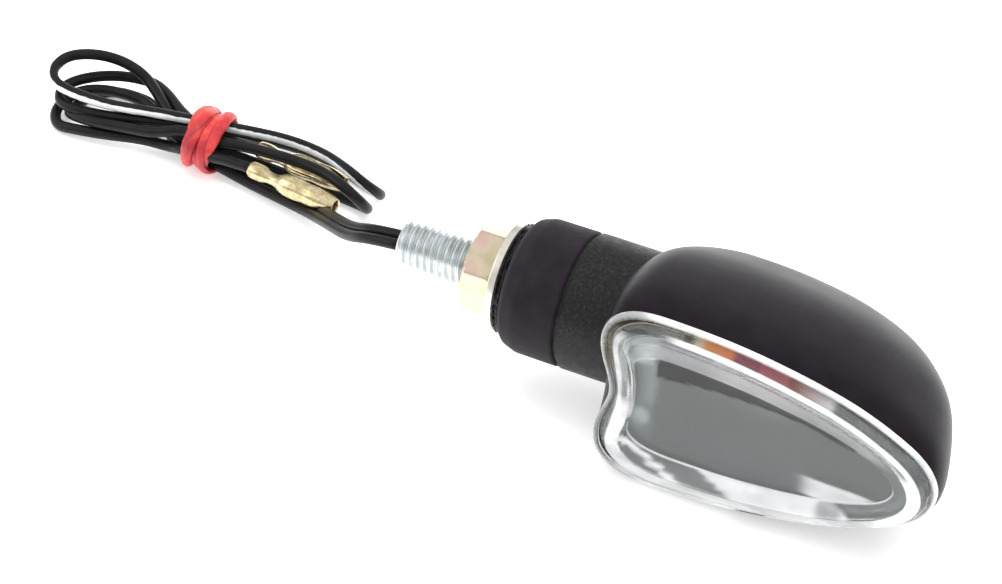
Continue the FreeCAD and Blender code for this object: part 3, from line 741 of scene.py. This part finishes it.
def make_band():
    """An elastic band wound round the bundle, its turns crossing each other."""
    x0, y0, z0 = BAND_CENTRE
    count = STEPS_PER_TURN * BAND_TURNS
    line = []
    wide = []
    for i in range(count):
        share = i / count
        angle = TURN * BAND_TURNS * share
        lean = 1.9 * math.sin(TURN * share + 0.6) + 0.6 * math.sin(TURN * share * 3 + 2.0)
        lift = 0.55 + 0.42 * math.sin(TURN * share * BAND_TURNS * 1.25 + 1.0)
        across = BAND_ACROSS + lift
        up = BAND_UP + lift * 0.8
        tilt = 1.1 * math.sin(TURN * share * 2 + 0.9) * math.sin(angle - 0.5)
        line.append(Vector((
            x0 + lean + tilt, y0 + across * math.cos(angle), z0 + up * math.sin(angle))) * MM)
        wide.append(0.95 + 0.2 * math.sin(TURN * share * 5 + 0.4))
    rings = []
    middle = Vector(BAND_CENTRE) * MM
    for i, point in enumerate(line):
        tangent = (line[(i + 1) % count] - line[i - 1]).normalized()
        out = point - middle
        out.x = 0
        out = (out - tangent * out.dot(tangent)).normalized()
        side = tangent.cross(out)
        ring = []
        for j in range(BAND_SIDES):
            angle = TURN * j / BAND_SIDES
            bulge = 1 + 0.12 * noise.noise(point * 900 + Vector((0, 0, j * 0.3)))
            ring.append(
                point + out * (BAND_HALF_THICKNESS * math.cos(angle)) * bulge
                + side * (wide[i] * MM * math.sin(angle)) * bulge)
        rings.append(ring)
    piece = skin("rubber_band_turns", rings)
    return add_piece(piece, "lamp", "band_red", "rubber_band", material=MATERIALS["band_red"])


make_band()


# ---------------------------------------------------------------- stud, nut, washer and ring

PITCH = 1.25


def make_stud():
    """Hollow stud with a true helical thread, a plain shank and its trapped head."""
    segments = 72
    crest, root = 3.92, 3.28
    thread_end = -1.3
    per_pitch = 14
    count = int((thread_end - STUD_END) / PITCH * per_pitch) + 1
    stations = [STUD_END + i * PITCH / per_pitch for i in range(count)]

    def thread_radius(x, angle):
        """Radius of the helical thread at a place, less where its free end is turned down."""
        phase = (x / PITCH - angle / TURN) % 1.0
        flank = abs(phase - 0.5) * 2
        shape = min(max((flank - 0.12) / 0.7, 0.0), 1.0)
        radius = root + (crest - root) * (shape * shape * (3 - 2 * shape))
        lead_in = 3.15 + (x - STUD_END) * 0.9
        return min(radius, lead_in)

    rings = []
    for x in stations:
        rings.append([(x, thread_radius(x, TURN * j / segments)) for j in range(segments)])
    # The shank, the head, and back along the bore to the free end.
    plain = [
        (thread_end + 0.1, 3.97), (2.5, 3.97), (2.5, 6.8), (2.7, 7.0), (4.3, 7.0), (4.5, 6.8),
        (4.5, 2.5), (4.4, 2.3), (-19.0, 2.3), (-19.25, 2.42), (STUD_END, 2.6),
    ]
    for x, r in plain:
        rings.append([(x, r)] * segments)
    solid = []
    for ring in rings:
        solid.append([
            (x * MM, r * MM * math.cos(TURN * j / segments), r * MM * math.sin(TURN * j / segments))
            for j, (x, r) in enumerate(ring)])
    piece = skin("stud_thread", solid)
    sharpen(piece, 50)
    return add_piece(piece, "lamp", "zinc_steel", "stud", material=MATERIALS["zinc_steel"])


def make_nut():
    """Hexagon nut with corners turned down to cones, softened edges and a countersunk hole."""
    flats = 6.5
    left, right = -6.8, -1.4
    segments = 180
    middle = (left + right) / 2
    # The cone that turns the corners down: its radius at the face, its slope, and the step that
    # softens the edge of the face.
    cone_start, cone_slope, cone_step = 6.12, 1.75, 0.12

    def hexagon(angle):
        """Distance to the rounded hexagon, its corners at the CAD's corners."""
        power = 26.0
        total = 0.0
        for k in range(6):
            lean = math.cos(angle - math.radians(30 + 60 * k))
            if lean > 0.2:
                total += (lean / flats) ** power
        return total ** (-1.0 / power)

    depths = [0.0, 0.06, 0.16, 0.3, 0.5, 0.75, 1.05, 1.5, 2.7]
    stations = [left + d for d in depths] + [right - d for d in reversed(depths[:-1])]
    rings = []
    for x in stations:
        depth = min(x - left, right - x)
        cone = cone_start + depth * cone_slope + (cone_step if depth > 0.05 else 0.0)
        ring = []
        for j in range(segments):
            angle = TURN * j / segments
            radius = min(hexagon(angle), cone)
            if depth < 0.03:
                radius -= 0.1
            ring.append((x, radius, angle))
        rings.append(ring)
    hole = [(right, 4.5), (right - 0.45, 4.07), (middle, 4.06), (left + 0.45, 4.07), (left, 4.5)]
    for x, r in hole:
        rings.append([(x, r, TURN * j / segments) for j in range(segments)])
    solid = [[
        (x * MM, r * MM * math.sin(angle), r * MM * math.cos(angle)) for x, r, angle in ring]
        for ring in rings]
    piece = skin("nut_detail", solid)
    sharpen(piece, 24)
    return add_piece(piece, "nut", "yellow_zinc", "nut", material=MATERIALS["yellow_zinc"])


def ragged(point):
    """Rough moulded edge: pushes the rim of a ring in and out unevenly."""
    radius = math.hypot(point.y, point.z)
    if radius < 8.0 * MM:
        return point
    push = 0.35 * MM * noise.noise(point * 1100) + 0.15 * MM * noise.noise(point * 2600)
    share = (radius + min(push, 0.15 * MM)) / radius
    return Vector((point.x, point.y * share, point.z * share))


def make_rings():
    """Washer, glossy end ring and rubber collar, each with its edges rounded."""
    washer = lathe("washer_detail", [
        (-1.4, 4.25, 0.15), (-1.4, 8.95, 0.35), (-0.02, 9.0, 0.3), (-0.02, 4.25, 0.15)])
    add_piece(washer, "washer", "yellow_zinc", "washer", material=MATERIALS["washer_zinc"])
    ring = lathe("mount_ring_detail", [
        (0.0, 4.12, 0.1), (0.0, 8.9, 0.1), (0.25, 9.1, 0.15), (0.55, 8.75, 0.1), (0.8, 9.1, 0.15),
        (1.2, 8.9, 0.1), (1.2, 4.12, 0.1)], segments=160, wobble=ragged)
    add_piece(ring, "lamp", "gloss_black", "mount_ring", material=MATERIALS["gloss_black"])
    collar = lathe("collar_detail", [
        (1.2, 7.96, 0.05), (1.2, 9.15, 0.45), (1.85, 10.35, 2.4), (4.2, 11.1, 3.0),
        (11.0, 11.15, 0.3), (11.3, 10.9, 0.2), (11.3, 7.96, 0.05)], segments=128, steps=8)
    add_piece(collar, "lamp", "rubber_black", "collar", material=MATERIALS["rubber_black"])


make_stud()
make_nut()
make_rings()


# ---------------------------------------------------------------- lens

# Upper half of the teardrop outline and the knot of each point, as the CAD has them.
TEARDROP = [
    (1.0, 0.0), (0.957, 0.32), (0.87, 0.525), (0.73, 0.73), (0.55, 0.88), (0.37, 0.97),
    (0.2, 1.0), (0.07, 0.945), (0.004, 0.74), (0.0, 0.4),
]
KNOTS = [0.0, 6.0, 12.0, 22.0, 33.0, 43.0, 52.5, 60.5, 66.0, 71.5, 78.0]
HEAD_LEFT, HEAD_TIP, HEAD_HALF, RIM_NOTCH = 22.0, 77.0, 16.9, 1.7


def periodic_spline(knots, values, at):
    """A smooth closed cubic through values at knots; the last knot is the first again."""
    n = len(values)
    steps = np.diff(knots)
    slopes = (np.roll(values, -1, axis=0) - values) / steps[:, None]
    system = np.zeros((n, n))
    right = np.zeros_like(values)
    for i in range(n):
        before, after = steps[i - 1], steps[i]
        system[i, i - 1] += after
        system[i, i] += 2 * (before + after)
        system[i, (i + 1) % n] += before
        right[i] = 3 * (after * slopes[i - 1] + before * slopes[i])
    tangents = np.linalg.solve(system, right)
    index = np.clip(np.searchsorted(knots, at, side="right") - 1, 0, n - 1)
    h = steps[index]
    t = ((at - np.asarray(knots)[index]) / h)[:, None]
    h = h[:, None]
    following = (index + 1) % n
    return (
        (2 * t**3 - 3 * t**2 + 1) * values[index] + (t**3 - 2 * t**2 + t) * h * tangents[index]
        + (3 * t**2 - 2 * t**3) * values[following] + (t**3 - t**2) * h * tangents[following])


def outline(depth, left, tip, half, notch, ease=0.0, count=220):
    """Closed teardrop outline at a depth, in metres; ease spreads the notch into a wide bay."""
    upper = [(left + along * (tip - left), high * half) for along, high in TEARDROP]
    # The bay moves the two points beside the notch towards the tip.
    upper[-1] = (upper[-1][0] + 0.72 * notch * ease, upper[-1][1])
    upper[-2] = (upper[-2][0] + 0.2 * notch * ease, upper[-2][1])
    values = upper + [(left + notch, 0.0)] + [(x, -z) for x, z in reversed(upper[1:])]
    last = KNOTS[-1]
    knots = KNOTS + [2 * last - knot for knot in reversed(KNOTS[:-1])]
    at = np.linspace(0, knots[-1], count, endpoint=False)
    flat = periodic_spline(np.array(knots), np.array(values), at)
    return [(x * MM, depth * MM, z * MM) for x, z in flat]


def rim(depth, inset, ease=0.0):
    """The head's outline at a depth, drawn in by an inset."""
    return outline(depth, HEAD_LEFT + inset, HEAD_TIP - inset, HEAD_HALF - inset, RIM_NOTCH, ease)


# How much the front rises towards the tip, over its length.
LEAN = 0.03
# How far inside the head's outline the crest's inner edge lies.
CREST_INSET = 3.9
# The dish's floor: left end, tip, half height, notch and ease, then the depths of its two sides.
DISH = (27.1, 70.5, 9.3, 0.9, 1.0)
DISH_FRONT, DISH_BACK = -17.9, -16.9
# An end beyond the lens, for a zone that runs to its edge.
FAR = 99


def floor_outline(depth, share, back=0.0):
    """Between the crest's inner edge (share 0) and the dish's floor (share 1)."""
    inset = CREST_INSET + back
    crest = (HEAD_LEFT + inset, HEAD_TIP - inset, HEAD_HALF - inset, RIM_NOTCH, 1.0)
    return outline(depth, *[a + share * (b - a) for a, b in zip(crest, DISH)])


def leaned(ring, share=1.0):
    """The border and the dish stand a little higher towards the tip."""
    middle = 46.0 * MM
    return [(x, y - share * LEAN * (x - middle), z) for x, y, z in ring]


def between(value, start, end, soft):
    """1 between start and end, falling smoothly to 0 over soft on either side."""
    rise = min(max((value - start) / soft + 1, 0), 1)
    fall = min(max((end - value) / soft + 1, 0), 1)
    return (rise * rise * (3 - 2 * rise)) * (fall * fall * (3 - 2 * fall))


def painted_highlight_level(zone, x, z):
    """Painted highlight: how white the lens is painted where light gathers in its edges, by zone
    and place in mm.
    """
    top = min(max(z / 3 + 0.5, 0), 1)
    under = 1 - top
    tip = between(x, 69.5, FAR, 1.5)
    notch = between(x, 0, 27.5, 1.5) * between(z, -9, 11.5, 2)
    if zone == "ring":
        gap = under * between(x, 46.5, 50.5, 0.4)
        return 0.85 - 0.45 * between(x, 0, 27, 4) - 0.8 * gap
    if zone == "wall":
        tab = top * between(x, 47.5, 52.0, 0.3)
        # Painted bulb reflection: the upper wall is made less clear there, so the painted amber
        # shows.
        painted_bulb_reflection = 0.5 * top * between(x, 37.5, 59.0, 1.5)
        return max(0.85 * tab, painted_bulb_reflection, 0.05) + under * 0.6 * between(x, 27, 66, 3) + 0.1 * notch
    if zone == "edge":
        return 0.05 + top * 0.9 * between(x, 36, 68, 5) + 0.5 * under + 0.8 * tip + 0.5 * notch
    if zone == "crest":
        return 0.05 + 0.05 * top + 0.6 * under + 0.9 * tip * between(z, -5, 3, 2) + 0.12 * notch
    if zone == "slope":
        slant = x + 2.0 * (z + 9)
        tongues = between(slant, 27.0, 28.5, 1.0) + between(slant, 39.5, 66.0, 2.0)
        hook = between(x, 60.0, 62.5, 1.5)
        light = top * 0.14 * between(x, 30, 66, 4)
        return 0.06 + light + under * min(0.7 * tongues, 0.8) * (1 - 0.6 * hook)
    if zone == "foot":
        return 0.1 + 0.5 * under + 0.3 * top * between(x, 29, 62, 4)
    # The floor's painted highlight: a white swoosh near the tip.
    swoosh = between(x, 58.5, 66.0, 3.5) * between(z, -6.4, -3.6, 0.8)
    return 0.03 + 0.6 * swoosh


def shaded(zone, x, z):
    """Painted shade: how much the dish's floor and foot are painted dark along its upper edge."""
    if zone not in ("floor", "foot"):
        return 0.0
    edge = 9.2 - 0.0055 * (x - 37) ** 2
    depth = max(3.2 * (59 - x) / 28, 0.25)
    return between(z, edge - depth, FAR, 0.35) * between(x, 31.5, 64, 0.6)


def flat_rings(depth, sizes):
    """Rings that close a flat face towards its middle line."""
    left, tip, half, notch, ease = sizes
    middle = left + 0.3 * (tip - left)
    rings = []
    for share in (0.96, 0.92, 0.88, 0.84, 0.8, 0.75, 0.7, 0.64, 0.56, 0.42, 0.28, 0.14, 0.0):
        rings.append(outline(
            depth, middle + (left - middle) * share, middle + (tip - middle) * share,
            half * share, notch * share, ease))
    return rings


def make_lens():
    """Clear lens: rim ring, bevelled border, rounded crest, dished face, hollow behind it all."""
    ring = [
        (-13.6, 2.45), (-13.6, 2.28), (-14.0, 2.25), (-16.1, 2.25), (-16.2, 2.15), (-16.2, 0.15),
        (-16.3, 0.03), (-16.45, 0.0), (-17.0, 0.0), (-17.2, 0.06), (-17.3, 0.25), (-17.3, 0.8)]
    border = [
        ("wall", -17.34, 1.0), ("wall", -17.5, 1.2), ("wall", -17.8, 1.36), ("wall", -18.15, 1.56),
        ("wall", -18.35, 1.68), ("edge", -18.55, 1.86), ("edge", -18.75, 2.12),
        ("edge", -18.9, 2.4), ("crest", -19.0, 2.7), ("crest", -19.05, 2.95),
        ("crest", -19.08, 3.2), ("crest", -19.06, 3.5), ("crest", -18.97, 3.75),
        ("slope", -18.85, CREST_INSET)]
    slope = [
        ("slope", -18.7, 0.14), ("slope", -18.45, 0.4), ("slope", -18.2, 0.66),
        ("slope", -18.04, 0.84), ("foot", -17.96, 0.93), ("foot", -17.92, 0.97),
        ("floor", DISH_FRONT, 1.0)]
    zones = ["ring"] * (len(ring) - 1) + ["wall"] + [row[0] for row in border + slope]
    rings = [rim(depth, inset) for depth, inset in ring]
    rings += [
        leaned(rim(depth, inset, min((inset - 1.0) / 1.2, 1.0))) for _, depth, inset in border]
    rings += [leaned(floor_outline(depth, share)) for _, depth, share in slope]
    face = [leaned(line) for line in flat_rings(DISH_FRONT, DISH)]
    zones += ["floor"] * len(face)
    front = rings + face
    behind = [
        (-13.6, 3.25), (-13.75, 3.42), (-14.0, 3.45), (-16.5, 3.45), (-17.0, 3.3), (-17.4, 3.05),
        (-17.7, 3.0), (-17.9, 3.1), (-18.02, 3.35), (-18.0, 3.7), (-17.9, 4.0),
    ]
    back = [rim(depth, inset) for depth, inset in behind[:4]]
    back += [leaned(rim(depth, inset, 1.0)) for depth, inset in behind[4:]]
    back += [
        leaned(floor_outline(depth, share, 0.15))
        for depth, share in ((-17.72, 0.16), (-17.45, 0.42), (-17.2, 0.68), (-17.0, 0.88))]
    inside = [outline(DISH_BACK, *DISH)] + flat_rings(DISH_BACK, DISH)
    back += [leaned(line) for line in inside]
    places = [(zone, x / MM, z / MM) for zone, line in zip(zones, front) for x, _, z in line]
    # Painted highlight per point of the front.
    painted_highlight = [painted_highlight_level(zone, x, z) for zone, x, z in places]
    blur = [0.3 if zone in ("floor", "foot", "slope") else 0.04 for zone, _, _ in places]
    # Painted shade per point of the dish's floor and foot.
    shade = [shaded(zone, x, z) for zone, x, z in places]
    # Painted reflection of the amber bulb per point of the upper wall.
    painted_bulb_reflection = [between(z, 6, FAR, 2) if zone == "wall" else 0.0 for zone, _, z in places]
    spare = len(back) * len(front[0])
    solid = list(reversed(back)) + front
    piece = skin("lens_detail", solid, closed=False, values={
        "painted_highlight": [0.03] * spare + painted_highlight, "blur": [0.2] * spare + blur,
        "shade": [0.0] * spare + shade, "painted_bulb_reflection": [0.0] * spare + painted_bulb_reflection})
    sharpen(piece, 40)
    return add_piece(piece, "lens", "clear_lens", "lens", material=MATERIALS["clear_lens"])


make_lens()


# ---------------------------------------------------------------- floor and light

def make_floor():
    """Plain pale floor."""
    size = 3.0
    piece = mesh_object(
        "floor", [(-size, -size, FLOOR_Z), (size, -size, FLOOR_Z), (size, size, FLOOR_Z),
                  (-size, size, FLOOR_Z)], [(0, 1, 2, 3)], smooth=False)
    paper = Finish("paper", Specular_IOR_Level=0.2, Emission_Strength=0.42)
    paper.shader.inputs["Emission Color"].default_value = (1, 1, 1, 1)
    paper.color(paper.noise(3.0, 2.0), [(0.3, (0.93, 0.93, 0.935)), (0.7, (0.95, 0.95, 0.95))])
    paper.roughness(paper.noise(30.0, 2.0), 0.7, 0.8)
    piece.data.materials.append(paper.material)


def area_light(name, place, target, size, power, mirrored=True):
    """A rectangular light aimed at a target; mirrored says whether glossy surfaces show it."""
    light = bpy.data.lights.new(name, "AREA")
    light.shape = "RECTANGLE"
    light.size, light.size_y = size
    light.energy = power
    holder = bpy.data.objects.new(name, light)
    holder.visible_glossy = mirrored
    place = Vector(place)
    turn = (place - Vector(target)).to_track_quat("Z", "Y").to_matrix().to_4x4()
    holder.matrix_world = Matrix.Translation(place) @ turn
    bpy.context.scene.collection.objects.link(holder)


def make_light():
    """Bright even surroundings, a large soft light above, one at the left and a low one behind."""
    world = bpy.data.worlds.new("studio")
    bpy.context.scene.world = world
    world.use_nodes = True
    tree = world.node_tree
    background = next(node for node in tree.nodes if node.type == "BACKGROUND")
    place = tree.nodes.new("ShaderNodeSeparateXYZ")
    tree.links.new(tree.nodes.new("ShaderNodeTexCoord").outputs["Generated"], place.inputs[0])
    rise = tree.nodes.new("ShaderNodeMapRange")
    rise.interpolation_type = "SMOOTHSTEP"
    for socket, value in (("From Min", 0.05), ("From Max", 0.9), ("To Min", 0.55), ("To Max", 1.0)):
        rise.inputs[socket].default_value = value
    tree.links.new(place.outputs["Z"], rise.inputs["Value"])
    tree.links.new(rise.outputs["Result"], background.inputs["Strength"])
    background.inputs["Color"].default_value = (1.0, 1.0, 1.0, 1.0)
    area_light("key", (-0.05, 0.2, 0.75), (0, 0, 0), (1.1, 0.9), 8.0, mirrored=False)
    area_light("left", (-0.6, -0.25, 0.35), (0, 0, 0), (0.5, 0.5), 1.1)
    area_light("rim", (0.1, 0.8, 0.12), (0.03, 0, 0), (0.8, 0.15), 0.7)
    bpy.context.scene.view_settings.view_transform = "Standard"


make_floor()
make_light()
